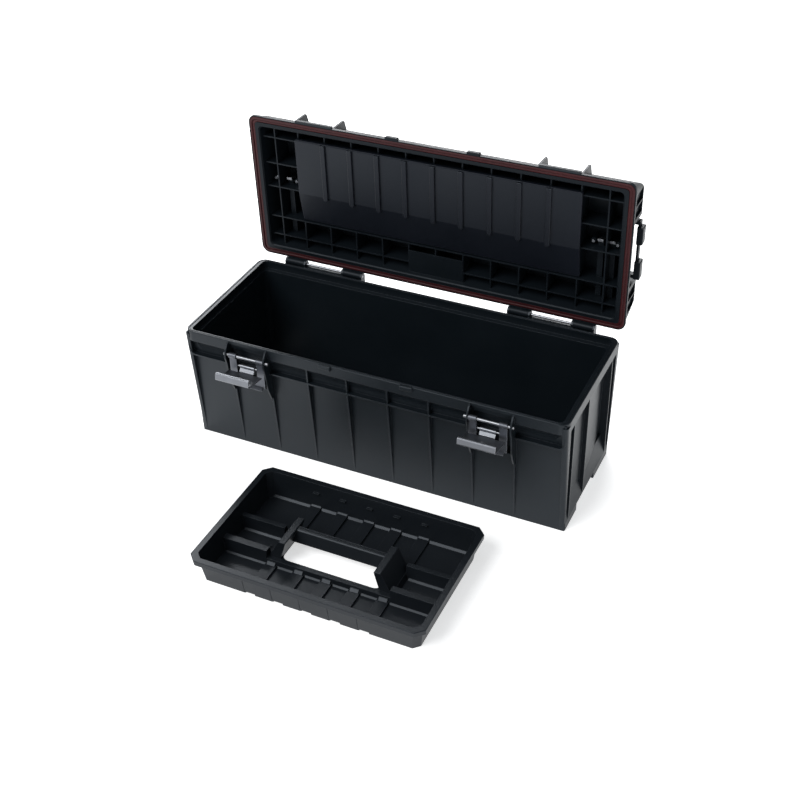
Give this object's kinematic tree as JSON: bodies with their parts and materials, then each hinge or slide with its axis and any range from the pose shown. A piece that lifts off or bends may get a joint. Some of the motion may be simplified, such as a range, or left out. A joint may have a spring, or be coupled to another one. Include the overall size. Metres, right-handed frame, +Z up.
{
  "type": "toolbox with tray",
  "caption": "Long rectangular plastic toolbox, its ribbed lid hinged open with a rubber seal, two front over-centre latches, and a lift-out tray with a carrying bar.",
  "frame": {"origin": "middle of the tub's underside, on the floor", "axes": "+X along the tub's length, +Y towards the lid hinge, +Z up"},
  "size_m": [0.795, 0.7401, 0.5741],
  "materials": {
    "moulding": "fine moulded grain",
    "panel": "smooth satin",
    "tray": "fine moulded grain",
    "seal": "soft matt",
    "plated_steel": "dull plated, slightly brushed",
    "pin_steel": "turned"
  },
  "bodies": {
    "tub": {"tub": "moulding", "hinge_pin_left": "pin_steel", "hinge_pin_right": "pin_steel", "latch_pin_left": "pin_steel", "latch_pin_right": "pin_steel"},
    "lid": {"lid_shell": "moulding", "lid_seal": "seal", "lid_panel": "panel", "lid_grip_left": "moulding", "grip_bolts_left": "plated_steel", "grip_clips_left": "plated_steel", "lid_grip_right": "moulding", "grip_bolts_right": "plated_steel", "grip_clips_right": "plated_steel"},
    "tray": {"tray_shell": "tray", "tray_handle": "tray"},
    "lever_left": {"latch_lever_left": "plated_steel", "hook_pin_left": "pin_steel"},
    "hook_left": {"latch_hook_left": "plated_steel"},
    "lever_right": {"latch_lever_right": "plated_steel", "hook_pin_right": "pin_steel"},
    "hook_right": {"latch_hook_right": "plated_steel"}
  },
  "joints": [
    {"name": "lid_hinge", "type": "hinge", "parent": "tub", "child": "lid", "pos_m": [0, 0.162, 0.254], "axis": [-1, 0, 0], "range_deg": [-88, 0]},
    {"name": "latch_lever_left", "type": "hinge", "parent": "tub", "child": "lever_left", "pos_m": [-0.2435, -0.158, 0.23], "axis": [-1, 0, 0], "range_deg": [0, 125]},
    {"name": "latch_hook_left", "type": "hinge", "parent": "lever_left", "child": "hook_left", "pos_m": [-0.2435, -0.1555, 0.209], "axis": [1, 0, 0], "range_deg": [-80, 0]},
    {"name": "latch_lever_right", "type": "hinge", "parent": "tub", "child": "lever_right", "pos_m": [0.2435, -0.158, 0.23], "axis": [-1, 0, 0], "range_deg": [0, 125]},
    {"name": "latch_hook_right", "type": "hinge", "parent": "lever_right", "child": "hook_right", "pos_m": [0.2435, -0.1555, 0.209], "axis": [1, 0, 0], "range_deg": [-80, 0]},
    {"name": "tray_lift", "type": "slide", "parent": "tub", "child": "tray", "axis": [0, 0, 1], "range_m": [0, 0.4]}
  ]
}
